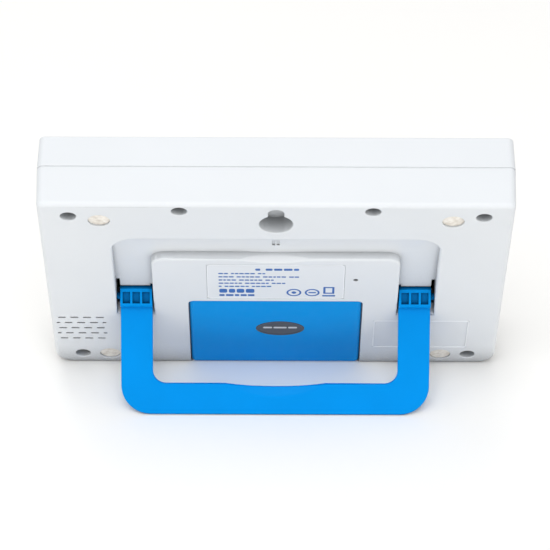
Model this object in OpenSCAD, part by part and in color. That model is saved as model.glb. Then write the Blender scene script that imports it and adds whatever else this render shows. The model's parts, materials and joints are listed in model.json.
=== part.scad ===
// Wall and bench display monitor with a fold-out handle that is also its stand.
//
// Every sub-part is drawn in the case's own directions: x across the back, y up the
// back from its lower edge, z out of the back (the back is z = 0, the front is below
// it). on_table() then leans the case on its open handle, front towards -Y, with the
// floor at Z = 0 and the origin under the middle of the object's box.

/* [Case] */
// Width of the case
case_w = 190.6; // [190:0.2:192]
// Height of the case
case_h = 135.4; // [135:0.2:136.4]
// Depth of the case, front to back
case_d = 32.2; // [32:0.2:33]
// Depth of the rear half, from the back to the seam
rear_d = 17.6; // [17.4:0.1:17.8]
// Radius of the two lower corners of the outline
corner_r = 8; // [6:0.5:9]
// Radius of the two upper corners of the outline
top_corner_r = 2.6; // [2.2:0.1:4]
// Radius of the rounded edge round the back
rear_edge_r = 2; // [1.5:0.25:2.5]
// Radius of the rounded edge round the front
front_edge_r = 1; // [0.6:0.1:1.4]
// Thickness of the case walls
wall = 2.2; // [2:0.1:2.3]
// Thickness of the front wall
front_wall = 2.8; // [2.6:0.1:3]
// Width of the groove along the seam
seam_w = 0.7; // [0.4:0.1:1]
// Depth of the groove along the seam
seam_deep = 0.9; // [0.6:0.1:1.1]

/* [Handle] */
// Distance between the outer sides of the two arms
handle_w = 130; // [129:0.5:130.5]
// Width of each arm and of the crossbar
arm_w = 13.4; // [13:0.1:13.4]
// Length from the pivot to the outer edge of the crossbar
handle_len = 51.6; // [50.6:0.1:51.6]
// Thickness of the arms at the pivot
arm_t = 4; // [3.6:0.1:4]
// Radius of the outer corners
handle_outer_r = 12.5; // [10:0.5:13]
// Radius of the inner corners
handle_inner_r = 5.5; // [4:0.5:6]
// Height of the pivot up the back
pivot_y = 53.4; // [53.2:0.1:53.4]
// Depth of the pivot below the back
pivot_z = 4; // [4:0.1:4.3]
// Opening angle, from parallel with the back to the stop
open_angle = 131.3; // [129:0.1:133]
// Angle between the folded handle's inner face and the back
folded_angle = 2.4; // [2.2:0.1:2.6]
// Radius of the moulded pivot pegs
peg_r = 1.5; // [1.3:0.1:2.2]
// Width of the finger scoop in the crossbar
scoop_w = 43; // [36:1:50]

/* [Display and keys] */
// Width of the window plate
window_w = 146; // [140:1:148]
// Height of the window plate
window_h = 84; // [80:1:84]
// Distance between keys
key_pitch = 28; // [26:1:30]
// Width of a key
key_w = 17; // [14:1:18]
// Height of a key
key_h = 8; // [7:0.5:9]
// Travel of a key
key_travel = 0.5; // [0.3:0.05:0.5]

/* [Battery bay] */
// Width of the battery door
door_w = 72.4; // [71:0.2:73]
// Height of the battery door
door_h = 55.6; // [55.4:0.1:55.8]
// Thickness of the battery door
door_t = 2; // [1.8:0.1:2]
// Radius of the door's corners
door_corner_r = 2.2; // [2.1:0.1:3]
// Gap round the battery door
door_gap = 0.3; // [0.2:0.05:0.4]
// Diameter of a cell
cell_d = 14.5; // [14:0.1:14.5]
// Length of a cell over its button
cell_len = 50.5; // [49.5:0.1:50.5]

/* [Back details] */
// Radius of the round part of the keyhole
keyhole_r = 6.8; // [6:0.1:7]
// Width of the keyhole's slot
keyhole_slot = 6.4; // [5:0.1:6.6]
// Diameter of the magnets
magnet_d = 8.7; // [8:0.1:9]
// Diameter of the screw wells
well_d = 6.4; // [6:0.1:6.6]

/* [Hidden] */
$fn = 64;
key_count = 5;

SHELL = [0.93, 0.945, 0.955];
BLUE = [0.02, 0.55, 0.93];
DARK = [0.16, 0.17, 0.19];
METAL = [0.75, 0.76, 0.78];
CUT = 0.5;                       // how far a cutting shape runs past the face it cuts

// --- The way the case stands ---------------------------------------------------------
// The floor touches the rounded lower edge of the back and the rounded tip of the handle.
tip_r = 0.8;
tip_t = arm_t - handle_len * sin(folded_angle);
tip_along = handle_len - tip_r;
tip_off = tip_t - tip_r;
tip_y = pivot_y + tip_along * cos(open_angle) - tip_off * sin(open_angle) - rear_edge_r;
tip_z = -pivot_z + tip_along * sin(open_angle) + tip_off * cos(open_angle) + rear_edge_r;
tip_far = norm([tip_y, tip_z]);
lean = atan2(tip_y, tip_z) + asin((rear_edge_r - tip_r) / tip_far);
floor_z = rear_edge_r * (cos(lean) + sin(lean) - 1);
front_y = front_edge_r * sin(lean) + (front_edge_r - case_d) * cos(lean) - front_edge_r;
back_y = (case_h - rear_edge_r) * sin(lean) - rear_edge_r * cos(lean) + rear_edge_r;
mid_y = (front_y + back_y) / 2;

// Radius of an arc from its width and its height
function arc_r(w, h) = (w * w / 4 + h * h) / (2 * h);

// --- Handle recess -------------------------------------------------------------------
recess_w = 133;
recess_top = 108.5;
recess_corner_r = 10;
panel_w = 102;
panel_top = 91.3;
panel_corner_r = 5;
ramp_y = 105.2;                  // the steep ramp ends and the sloping floor begins
ramp_z = 2.05;
floor_angle = 6.9;
bend_y = 91.3;                   // the floor slopes less below this
low_angle = 3.9;
well_y = 58.6;                   // upper end of the deep well round the pivots
well_z = 9.5;
swing_r = 5;                     // radius of the round end of the arms
stop_gap = 0.15;
stop_off = arm_t + stop_gap;     // the stop lies this far from the pivot
recess_wall = 1.9;
arm_out = handle_w / 2;
arm_in = arm_out - arm_w;
boss_rise = 3.5;                 // how far the arm's boss stands past its inner face
scoop_down = 5.7;                // how far the crossbar's scoop reaches across its face
scoop_angle = 20;
scoop_dip = scoop_down * sin(scoop_angle);
scoop_r = arc_r(scoop_w, scoop_dip);
scoop_notch = 1.4;               // how far the crossbar's inner edge is hollowed there
dish_r = 61;                     // finger scoop in the panel: radius, depth and slope
dish_z = 3.4;
dish_angle = 52;
slot_out = [64.9, 66.5];         // open slot beside each arm, x from and to
slot_up = [47, 65.4];            // and y from and to
notch_in = [51, 52.4];           // small notch at the other side of each arm
notch_up = [56, 60.4];
groove_up = [98.4, 103.9];       // two short grooves in the recess floor
groove_x = 0.9;
groove_w = 1.2;
groove_deep = 0.5;

// --- Screws, magnets and other points on the back ------------------------------------
case_screw_at = [
    [-82.7, 125.9], [82.7, 125.9], [-38.5, 130.2], [38.5, 130.2], [-82.9, 8.3], [82.9, 8.3]
];
magnet_at = [[-70.6, 122.6], [70.6, 122.6], [-71.2, 8.2], [71.2, 8.2]];
magnet_sunk = 0.5;
magnet_t = 3;
well_z_end = 13.4;
boss_end = 15.6;
keyhole_y = 120;
keyhole_top = 131.8;
keyhole_deep = 7.5;
reset_at = [33, 74.3];
reset_hole_r = 1;
label_w = 56.6;
label_y = [58.5, 87];
label_t = 0.2;
rating_x = [41.6, 82];           // shallow rectangle for a rating label
rating_y = [15, 39];
vent_at = [-82.3, 31.5];
vent_pitch = [5.4, 4.67];
vent_slot = [3.5, 1.2];
sounder_r = 9;

// --- Display stack, measured from the back -------------------------------------------
window_y = 79;                   // middle of the window
window_t = 1.5;
window_sunk = 0.2;
ledge = 5;                       // width of the ledge behind the window's edge
front_in = case_d - front_wall;  // depth of the front wall's inner face
lcd_w = 140.4;
lcd_h = 80.8;
lcd_t = 2.7;
board_t = 1.6;
board_z = 21.2;                  // depth of the board's rear face
board_half_w = 77;
board_y = [12, 124];
board_screw_at = [[-74.6, 16], [74.6, 16], [-74.6, 120], [74.6, 120]];
key_y = 21;
key_proud = 1;
jack_y = 62;
jack_z = 26;
jack_r = 1.85;
jack_x = [79.5, 91.8];
jack_front = 29.2;

// --- Battery bay ---------------------------------------------------------------------
bay_half_w = 29.6;
bay_y = [5, 51];
bay_z = 17.4;
bay_wall = 1.4;
tail_x = 29.4;                   // the contact plates' tails go through the bay's floor here
tail_t = 0.4;
door_top = door_h + door_gap;
lip_len = 7;
lip_t = 1.8;
badge_at = [2, 31.7];
badge_w = 20.5;
badge_h = 12.5;
badge_t = 0.4;
tab_x = 20;
tab_w = 8;
cell_pitch = 15.2;
cell_y = (bay_y[0] + bay_y[1]) / 2;
cell_z = 9.95;
plate_t = 0.4;
cell_side = [1, -1, 1];          // which way each cell's button points

// --- Shared shapes -------------------------------------------------------------------
module on_table()
    translate([0, -mid_y, -floor_z]) rotate([90 + lean, 0, 180]) children();

// Puts a shape at a depth below the back
module deep(z) translate([0, 0, -z]) children();

// Rectangle with round corners, centred on x = 0 and standing on y = 0
module round_rect(w, h, r) {
    translate([r - w / 2, 0]) square([w - 2 * r, h]);
    translate([-w / 2, r]) square([w, h - 2 * r]);
    for (x = [r - w / 2, w / 2 - r], y = [r, h - r]) translate([x, y]) circle(r);
}

// Rectangle with round ends, centred on the origin
module pill(w, h) {
    square([w - h, h], center = true);
    for (side = [-1, 1]) translate([side * (w - h) / 2, 0]) circle(h / 2);
}

// Half section of a slab's rim, from its inside out to its rounded edge
module rim_section(width, depth, edge) {
    square([width - edge, depth]);
    square([width, depth - edge]);
    translate([width - edge, depth - edge]) circle(edge);
}

// Slab with round corners whose far face, at z = depth, has a rounded edge. Its lower
// corners have one radius and its upper ones another.
module soft_slab(w, h, depth, low_r, high_r, edge) {
    half = w / 2;
    straight = h - low_r - high_r;
    translate([low_r - half, low_r, 0]) cube([w - 2 * low_r, straight, depth]);
    for (side = [0, 1]) mirror([side, 0, 0]) {
        translate([half - low_r, low_r, 0]) rotate_extrude() rim_section(low_r, depth, edge);
        translate([half - high_r, h - high_r, 0])
            rotate_extrude() rim_section(high_r, depth, edge);
        translate([half - low_r, h - high_r, 0])
            rotate([90, 0, 0]) linear_extrude(straight) rim_section(low_r, depth, edge);
    }
    translate([low_r - half, low_r, 0]) mirror([0, 1, 0])
        rotate([90, 0, 90]) linear_extrude(w - 2 * low_r) rim_section(low_r, depth, edge);
    translate([high_r - half, h - high_r, 0])
        rotate([90, 0, 90]) linear_extrude(w - 2 * high_r) rim_section(high_r, depth, edge);
}

// The case's outline, moved inwards
module case_outline(inset) {
    half = case_w / 2 - inset;
    top = case_h - inset;
    low_r = corner_r - inset;
    high_r = max(top_corner_r - inset, 0.3);
    translate([-half, inset + low_r]) square([2 * half, top - inset - low_r - high_r]);
    translate([low_r - half, inset]) square([2 * (half - low_r), 2 * low_r]);
    translate([high_r - half, top - 2 * high_r]) square([2 * (half - high_r), 2 * high_r]);
    for (side = [-1, 1]) {
        translate([side * (half - low_r), inset + low_r]) circle(low_r);
        translate([side * (half - high_r), top - high_r]) circle(high_r);
    }
}

// Box given by its lowest and highest x, y and depth
module box(x, y, z) translate([x[0], y[0], -z[1]]) cube([x[1] - x[0], y[1] - y[0], z[1] - z[0]]);

// Upright round bar from one depth to another
module bar(at, r, z) translate([at[0], at[1], -z[1]]) cylinder(r = r, h = z[1] - z[0]);

// Prism along x of a section drawn in y and z, centred on the given x
module side_prism(points, half_w, x = 0)
    translate([x, 0, 0]) rotate([90, 0, 90]) linear_extrude(2 * half_w, center = true)
        polygon(points);

// Ring that follows the case's outline, between two insets and two depths
module case_ring(from, to, z)
    deep(z[1]) linear_extrude(z[1] - z[0]) difference() {
        case_outline(from);
        case_outline(to);
    }

// --- Rear case -----------------------------------------------------------------------
function floor_depth(y) = ramp_z + (ramp_y - max(y, bend_y)) * tan(floor_angle)
    + max(bend_y - y, 0) * tan(low_angle);

// y of the stop's face at a depth; the face is parallel to the open arms
function stop_y(z) = let (foot = stop_off / sin(open_angle))
    pivot_y - foot + (z - pivot_z) / tan(180 - open_angle);

module u_outline(grow) {
    difference() {
        translate([0, 30]) round_rect(recess_w + 2 * grow, recess_top + grow - 30, recess_corner_r);
        translate([0, 20])
            round_rect(panel_w - 2 * grow, panel_top - grow - 20, panel_corner_r);
    }
}

module recess_cut() {
    intersection() {
        deep(20) linear_extrude(30) u_outline(0);
        side_prism([
            [stop_y(-1), 1], [stop_y(well_z), -well_z], [well_y, -well_z],
            [well_y, -floor_depth(well_y)], [bend_y, -floor_depth(bend_y)], [ramp_y, -ramp_z],
            [recess_top, 0], [recess_top + 2, 1]
        ], recess_w);
    }
    for (side = [-1, 1]) {
        translate([side * (panel_w + recess_w) / 4, pivot_y, -pivot_z]) rotate([0, 90, 0])
            cylinder(r = swing_r + 0.4, h = (recess_w - panel_w) / 2, center = true);
        mirror([side > 0 ? 0 : 1, 0, 0]) {
            box(slot_out, slot_up, [4, 14]);
            box(notch_in, notch_up, [4, well_z]);
        }
        side_prism([
            [groove_up[0], 0], [groove_up[0], -floor_depth(groove_up[0]) - groove_deep],
            [groove_up[1], -floor_depth(groove_up[1]) - groove_deep], [groove_up[1], 0]
        ], groove_w / 2, side * groove_x);
    }
}

module recess_walls()
    intersection() {
        deep(20) linear_extrude(19) u_outline(recess_wall);
        side_prism([
            [40.5, -1], [44.5, -well_z - recess_wall], [well_y + 2, -well_z - recess_wall],
            [well_y + 2, -floor_depth(well_y) - recess_wall],
            [bend_y, -floor_depth(bend_y) - recess_wall], [ramp_y, -ramp_z - recess_wall],
            [recess_top + 2, -wall], [recess_top + 2, -1]
        ], recess_w);
    }

module pivot_bosses()
    for (side = [-1, 1])
        translate([side * 66, pivot_y, -pivot_z]) rotate([0, side * 90, 0])
            cylinder(r = pivot_z - 0.2, h = 5);

module pivot_bores()
    for (side = [-1, 1])
        translate([side * 66, pivot_y, -pivot_z]) rotate([0, side * 90, 0])
            cylinder(r = peg_r + 0.05, h = 3.7);

module bay_walls() {
    half = bay_half_w + bay_wall;
    edge = door_w / 2 + door_gap + wall;
    box([-half, half], [bay_y[0] - bay_wall, bay_y[1] + bay_wall], [door_t, bay_z + bay_wall]);
    box([-edge, edge], [1, door_top + wall], [door_t, door_t + 1.9]);
    box([-edge, edge], [0.6, 4.3], [1, lip_len + wall]);
}

module bay_cut() {
    edge = door_w / 2 + door_gap;
    box([-bay_half_w, bay_half_w], bay_y, [0, bay_z]);
    intersection() {
        deep(lip_len + 0.4) linear_extrude(lip_len + 1) translate([0, -door_gap])
            round_rect(2 * edge, door_top + door_gap, door_corner_r + door_gap);
        union() {
            box([-edge, edge], [-1, door_top], [-CUT, door_t + 0.15]);
            box([-edge, edge], [-1, lip_t + 0.6], [-CUT, lip_len + 0.4]);
        }
    }
    for (side = [-1, 1]) {
        lone = cell_y - side * cell_pitch;
        x = side * tab_x;
        box([x - tab_w / 2 - 0.5, x + tab_w / 2 + 0.5], [52.4, 59], [door_t, 4.5]);
        box([side * tail_x - 0.6, side * tail_x + 0.6], [lone - 1.6, lone + 1.6],
            [bay_z - CUT, bay_z + 2]);
    }
}

module keyhole_cut() {
    deep(wall + 1) {
        translate([0, keyhole_y]) cylinder(r = keyhole_r, h = wall + 2);
        translate([0, keyhole_top - keyhole_slot / 2]) cylinder(r = keyhole_slot / 2, h = wall + 2);
        translate([-keyhole_slot / 2, keyhole_y])
            cube([keyhole_slot, keyhole_top - keyhole_slot / 2 - keyhole_y, wall + 2]);
    }
    box([-keyhole_r, keyhole_r], [keyhole_y, 132.4], [wall, keyhole_deep]);
    bar([0, keyhole_y], keyhole_r, [wall - CUT, keyhole_deep]);
}

// Dished finger scoop in the panel's upper edge, for lifting the folded crossbar
module finger_scoop()
    translate([0, panel_top, -dish_z]) rotate([90 - dish_angle, 0, 0])
        translate([0, dish_r, 0]) cylinder(r = dish_r, h = 20, $fn = 128);

module vent_cut()
    for (row = [-2:2], col = [0:4]) {
        odd = abs(row) == 1;
        first = odd && col == 0;
        last = odd && col == 4;
        w = first || last ? vent_slot[0] / 2 : vent_slot[0];
        edge = first ? vent_slot[0] / 4 : last ? -vent_slot[0] / 4 : 0;
        x = (col - (odd ? 2 : 1.5)) * vent_pitch[0] + edge;
        if (odd || col < 4)
            translate([vent_at[0] + x, vent_at[1] + row * vent_pitch[1], -wall - 1])
                linear_extrude(wall + 2) pill(w, vent_slot[1]);
    }

module rear_case() color(SHELL) on_table() difference() {
    union() {
        difference() {
            deep(rear_d)
                soft_slab(case_w, case_h, rear_d, corner_r, top_corner_r, rear_edge_r);
            deep(rear_d + CUT) linear_extrude(rear_d + CUT - wall) case_outline(wall);
        }
        recess_walls();
        pivot_bosses();
        bay_walls();
        box([-9.5, 9.5], [110.6, 134], [1, keyhole_deep + 1.5]);
        intersection() {
            for (at = case_screw_at) bar(at, well_d / 2 + 1.7, [1, boss_end]);
            box([-94, 94], [1, case_h - 1], [0, boss_end + 1]);
        }
        for (at = magnet_at) bar(at, magnet_d / 2 + 1.5, [1, 4.7]);
        bar(reset_at, 2.2, [1, 16.4]);
        bar(vent_at, sounder_r + 1.3, [1, 7]);
    }
    case_ring(-CUT, seam_deep, [rear_d - seam_w / 2, rear_d + CUT]);
    recess_cut();
    pivot_bores();
    bay_cut();
    keyhole_cut();
    for (at = case_screw_at) {
        bar(at, well_d / 2, [-1, well_z_end]);
        bar(at, 1.7, [well_z_end - CUT, boss_end + 1]);
    }
    for (at = magnet_at) bar(at, magnet_d / 2 + 0.1, [-1, magnet_sunk + magnet_t]);
    bar(reset_at, reset_hole_r, [-1, 17]);
    bar(vent_at, sounder_r + 0.2, [wall, 8]);
    vent_cut();
    box([-label_w / 2 - 0.2, label_w / 2 + 0.2], [label_y[0] - 0.2, label_y[1] + 0.2], [-1, 0.25]);
    box(rating_x, rating_y, [-1, 0.25]);
    finger_scoop();
}

// --- Front case ----------------------------------------------------------------------
module key_shape(grow) pill(key_w + 2 * grow, key_h + 2 * grow);

function key_x(i) = (i - (key_count - 1) / 2) * key_pitch;

module front_case() color(SHELL) on_table() difference() {
    union() {
        difference() {
            deep(rear_d) mirror([0, 0, 1]) soft_slab(case_w, case_h, case_d - rear_d, corner_r,
                top_corner_r, front_edge_r);
            deep(front_in) linear_extrude(front_in) case_outline(wall);
        }
        difference() {
            case_ring(wall + 0.15, wall + 1.15, [rear_d - 2, rear_d]);
            for (at = case_screw_at) bar(at, well_d / 2 + 2, [rear_d - 3, rear_d]);
        }
        case_ring(wall - CUT, wall + 1.15, [rear_d, front_in + CUT]);
        for (at = case_screw_at) {
            bar(at, 2.7, [boss_end + 0.1, front_in + CUT]);
            bar(at, 4, [rear_d, front_in + CUT]);
        }
        for (at = board_screw_at) bar(at, 2.3, [board_z + board_t, front_in + CUT]);
    }
    case_ring(-CUT, seam_deep, [rear_d - CUT, rear_d + seam_w / 2]);
    for (at = case_screw_at) bar(at, 1.45, [0, front_in - 1]);
    for (at = board_screw_at) bar(at, 1, [0, front_in - 1]);
    deep(case_d + 1) linear_extrude(1 + window_sunk + window_t + 0.05)
        translate([0, window_y - window_h / 2 - 0.2]) round_rect(window_w + 0.4, window_h + 0.4, 4);
    deep(case_d + 1) linear_extrude(front_wall + 2)
        translate([0, window_y - window_h / 2 + ledge])
            round_rect(window_w - 2 * ledge, window_h - 2 * ledge, 3);
    for (i = [0:key_count - 1])
        translate([key_x(i), key_y, -case_d - 1]) linear_extrude(front_wall + 2) key_shape(0.25);
    translate([case_w / 2 - 5, jack_y, -jack_z]) rotate([0, 90, 0]) cylinder(r = 2.6, h = 6);
}

// --- Display -------------------------------------------------------------------------
module display_window() color([0.75, 0.8, 0.82, 0.5]) on_table()
    deep(case_d - window_sunk) linear_extrude(window_t)
        translate([0, window_y - window_h / 2]) round_rect(window_w, window_h, 3.8);

module lcd_panel() color([0.62, 0.68, 0.6]) on_table()
    box([-lcd_w / 2, lcd_w / 2], [window_y - lcd_h / 2, window_y + lcd_h / 2],
        [front_in - 0.1 - lcd_t, front_in - 0.1]);

module lcd_holder() color([0.85, 0.86, 0.87]) on_table() {
    half_w = lcd_w / 2 + 0.2;
    half_h = lcd_h / 2 + 0.2;
    back = front_in - 0.15 - lcd_t;
    deep(front_in) linear_extrude(front_in - board_z - board_t) difference() {
        translate([0, window_y]) square([2 * half_w + 2.8, 2 * half_h + 2.8], center = true);
        translate([0, window_y]) square([2 * half_w, 2 * half_h], center = true);
    }
    box([-half_w - 1, half_w + 1], [window_y - half_h + 3, window_y + half_h - 3], [back - 1.1, back]);
}

module lcd_connectors() color([0.3, 0.31, 0.33]) on_table()
    for (side = [-1, 1])
        translate([0, window_y + side * (lcd_h / 2 - 1.2)])
            box([-66, 66], [-1, 1], [board_z + board_t, front_in - 0.1 - lcd_t]);

// --- Electronics ---------------------------------------------------------------------
module main_board() color([0.1, 0.42, 0.25]) on_table() difference() {
    union() {
        box([-board_half_w, board_half_w], board_y, [board_z, board_z + board_t]);
        box([0, 90], [jack_y - 8, jack_y + 8], [board_z, board_z + board_t]);
    }
    for (at = board_screw_at) bar(at, 1.3, [board_z - 1, board_z + board_t + 1]);
}

module board_chips() color(DARK) on_table() {
    box([-26, -12], [70, 84], [board_z - 1.5, board_z]);
    box([4, 12], [88, 96], [board_z - 1.2, board_z]);
    box([-48, -38], [58, 63], [board_z - 1.6, board_z]);
    box([40, 46], [60, 66], [board_z - 1.6, board_z]);
    for (i = [0:4]) bar([-60 + 11 * i, 108], 2.5, [board_z - 6, board_z]);
    for (i = [0:7]) box([-2 + 6 * i, 1 + 6 * i], [78, 79.6], [board_z - 0.8, board_z]);
}

module radio_module() color(METAL) on_table() {
    box([48, 66], [88, 112], [board_z - 0.9, board_z]);
    box([49.5, 64.5], [89, 105], [board_z - 2.9, board_z - 0.9]);
}

module key_switches() color(DARK) on_table()
    for (i = [0:key_count - 1]) translate([key_x(i), key_y]) {
        box([-3, 3], [-3, 3], [board_z + board_t, board_z + board_t + 3.4]);
        bar([0, 0], 1.7, [board_z + board_t + 3.3, board_z + board_t + 3.8]);
    }

// Round-ended key cap with a flange that keeps it behind the front wall
module key(i) color([0.72, 0.75, 0.79]) on_table() translate([key_x(i), key_y]) {
    stem_end = board_z + board_t + 3.8 + key_travel + 0.1;
    deep(case_d + key_proud) linear_extrude(front_wall + key_proud + 0.1) key_shape(0);
    deep(front_in - 0.1) linear_extrude(1) key_shape(1.3);
    bar([0, 0], 2, [stem_end, front_in - 0.5]);
}

module sounder() color(DARK) on_table() difference() {
    bar(vent_at, sounder_r, [3, 8]);
    bar(vent_at, 1.5, [2, 5]);
}

module power_jack() color(DARK) on_table() {
    difference() {
        box(jack_x, [jack_y - 3.5, jack_y + 3.5], [board_z + board_t, jack_front]);
        translate([jack_x[0] + 3, jack_y, -jack_z]) rotate([0, 90, 0])
            cylinder(r = jack_r, h = 12);
    }
    translate([jack_x[0] + 2, jack_y, -jack_z]) rotate([0, 90, 0]) cylinder(r = 0.65, h = 8.5);
}

module reset_switch() color(DARK) on_table() difference() {
    box([reset_at[0] - 3, reset_at[0] + 3], [reset_at[1] - 3, reset_at[1] + 3],
        [board_z - 3.4, board_z]);
    bar(reset_at, 1, [board_z - 4, board_z - 1.2]);
}

module reset_plunger() color([0.8, 0.8, 0.78]) on_table()
    bar(reset_at, 0.92, [board_z - 4.3, board_z - 1.8]);

// --- Battery bay ---------------------------------------------------------------------
module battery_door() color(BLUE) on_table() difference() {
    union() {
        intersection() {
            deep(lip_len) translate([0, door_gap, 0])
                soft_slab(door_w, door_h + 20 - door_gap, lip_len, door_corner_r,
                    door_corner_r, rear_edge_r);
            union() {
                deep(door_t) linear_extrude(door_t + 1) translate([0, -10])
                    round_rect(door_w, door_h + 10, door_corner_r);
                box([-door_w / 2, door_w / 2], [0, door_gap + lip_t], [-1, lip_len]);
            }
        }
        for (side = [-1, 1]) {
            x = [side * tab_x - tab_w / 2, side * tab_x + tab_w / 2];
            box(x, [door_h - 1.2, door_h], [door_t - 0.5, 3.8]);
            box(x, [door_h - 1.2, door_h + 2.6], [2.5, 3.8]);
        }
    }
    translate([badge_at[0], badge_at[1], -badge_t]) linear_extrude(2) badge_outline(0.1);
}

// Oval outline of the badge
module badge_outline(grow)
    polygon([for (a = [0:5:355]) [(badge_w / 2 + grow) * cos(a), (badge_h / 2 + grow) * sin(a)]]);

module door_badge() color([0.3, 0.32, 0.35]) on_table()
    translate([badge_at[0], badge_at[1], -badge_t]) linear_extrude(badge_t) badge_outline(0);

module battery(i) color([0.16, 0.2, 0.26]) on_table()
    translate([0, cell_y + (i - 1) * cell_pitch, -cell_z]) rotate([0, cell_side[i] * 90, 0])
        translate([0, 0, 29 - cell_len]) {
            cylinder(r = cell_d / 2, h = cell_len - 1.3);
            cylinder(r = 2.7, h = cell_len);
        }

// Points of one turn-by-turn conical wire: ring centre j of a spring of given turns
function coil_r(u) = 4.4 - 1.8 * u;
function coil_point(u, turns, len, wire, k, sides) =
    let (a = 360 * turns * u, b = 360 * k / sides, r = coil_r(u) + wire * cos(b))
    [r * cos(a), r * sin(a), wire + (len - 2 * wire) * u + wire * sin(b)];

// Conical coil spring standing on z = 0, as one swept wire
module coil(len, turns, wire) {
    sides = 6;
    rings = turns * 10;
    points = [for (j = [0:rings], k = [0:sides - 1]) coil_point(j / rings, turns, len, wire, k, sides)];
    tube = [for (j = [0:rings - 1], k = [0:sides - 1])
        let (n = (k + 1) % sides)
        [j * sides + k, j * sides + n, (j + 1) * sides + n, (j + 1) * sides + k]];
    first = [for (k = [sides - 1:-1:0]) k];
    last = [for (k = [0:sides - 1]) rings * sides + k];
    polyhedron(points, concat([first], tube, [last]));
}

module contact_springs() color(METAL) on_table()
    for (i = [0:2])
        translate([0, cell_y + (i - 1) * cell_pitch, -cell_z]) rotate([0, cell_side[i] * 90, 0])
            translate([0, 0, -bay_half_w + plate_t + 0.1]) coil(7.4, 4, 0.4);

// One plate at each end joins two cells, and one serves a single cell and the board
module contact_plates() color(METAL) on_table()
    for (side = [-1, 1]) {
        x = side > 0 ? [bay_half_w - plate_t, bay_half_w] : [-bay_half_w, -bay_half_w + plate_t];
        lone = cell_y - side * cell_pitch;
        pair = cell_y + side * cell_pitch / 2;
        box(x, [pair - 13, pair + 13], [5.5, 14.5]);
        box(x, [lone - 5.5, lone + 5.5], [5.5, 14.5]);
        box([side * tail_x - tail_t / 2, side * tail_x + tail_t / 2], [lone - 1, lone + 1],
            [14, board_z]);
    }

// --- Handle --------------------------------------------------------------------------
// Local directions: y along the arms from the pivot, z out of the handle's outer face
module in_handle()
    on_table() translate([0, pivot_y, -pivot_z]) rotate([open_angle, 0, 0]) children();

module handle_outline() difference() {
    translate([0, -30]) round_rect(handle_w, handle_len + 30, handle_outer_r);
    translate([0, -40]) round_rect(2 * arm_in, handle_len - arm_w + 40, handle_inner_r);
}

module handle() color(BLUE) in_handle() difference() {
    union() {
        intersection() {
            translate([0, 0, -CUT]) linear_extrude(arm_t + 1) handle_outline();
            side_prism([
                [0, 0], [handle_len, 0], [handle_len, tip_t - tip_r],
                [handle_len - tip_r, tip_t], [0, arm_t]
            ], handle_w);
        }
        intersection() {
            translate([0, 0, -boss_rise]) linear_extrude(arm_t + boss_rise) difference() {
                translate([0, 0]) square([handle_w, 4 * swing_r], center = true);
                square([2 * arm_in, 6 * swing_r], center = true);
            }
            rotate([0, 90, 0]) union() {
                cylinder(r = swing_r, h = handle_w, center = true);
                translate([-arm_t, 0, -handle_w / 2]) cube([arm_t + boss_rise, 3.5, handle_w]);
            }
        }
        for (side = [-1, 1])
            rotate([0, side * 90, 0]) cylinder(r = peg_r, h = arm_out + 4.2);
    }
    cube([2 * arm_in, 6 * swing_r, 6 * swing_r], center = true);
    for (side = [-1, 1], i = [-1:1])
        translate([side * (arm_in + arm_w / 2) + i * 4.1 - 1.55, -2.2, -boss_rise - 1])
            cube([3.1, 4.9, 3.2]);
    translate([0, handle_len - arm_w + scoop_down, 0]) rotate([90 - scoop_angle, 0, 0])
        translate([0, -scoop_r, 0]) cylinder(r = scoop_r, h = 20, center = true, $fn = 192);
    notch_r = arc_r(scoop_w, scoop_notch);
    intersection() {
        translate([0, handle_len - arm_w + scoop_notch - notch_r, 0])
            cylinder(r = notch_r, h = 20, center = true, $fn = 360);
        cube([scoop_w + 2, 2 * handle_len, 20], center = true);
    }
}

// --- Fixings and labels --------------------------------------------------------------
module magnets() color([0.93, 0.92, 0.87]) on_table()
    for (at = magnet_at) bar(at, magnet_d / 2, [magnet_sunk, magnet_sunk + magnet_t]);

// Pan-head screw with a cross recess, its head's underside at a depth
module screw(at, head_r, head_h, shank_r, len, z) difference() {
    union() {
        bar(at, head_r, [z - head_h, z]);
        bar(at, shank_r, [z - CUT, z + len]);
    }
    for (turn = [0, 90])
        translate([at[0], at[1], head_h - z]) rotate(turn)
            cube([1.5 * head_r, 0.35 * head_r, 1.2 * head_h], center = true);
}

module case_screws() color(METAL) on_table()
    for (at = case_screw_at) screw(at, 2.75, 2.1, 1.4, 11, well_z_end);

module board_screws() color(METAL) on_table()
    for (at = board_screw_at) screw(at, 2.2, 1.4, 0.95, 5, board_z);

module info_label() color([0.86, 0.89, 0.92]) on_table()
    box([-label_w / 2, label_w / 2], label_y, [0.25 - label_t, 0.25]);

rear_case();
front_case();
display_window();
lcd_panel();
lcd_holder();
lcd_connectors();
main_board();
board_chips();
radio_module();
key_switches();
for (i = [0:key_count - 1]) key(i);
sounder();
power_jack();
reset_switch();
reset_plunger();
battery_door();
door_badge();
for (i = [0:2]) battery(i);
contact_springs();
contact_plates();
handle();
magnets();
case_screws();
board_screws();
info_label();
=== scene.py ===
"""Looks of a wall and bench display monitor that leans on its fold-out handle.

Pieces are placed in the case's own directions, as in the CAD: x across the back, y up the
back from its lower edge, z out of the back, all in millimetres. CASE turns them into metres
in the row frame, and HANDLE does the same for the handle's directions: y along its arms
from the pivot, z out of its outer face.
"""
import json
import math

import bmesh
import bpy
from mathutils import Matrix, Vector
from mathutils.geometry import delaunay_2d_cdt
import numpy as np


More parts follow.
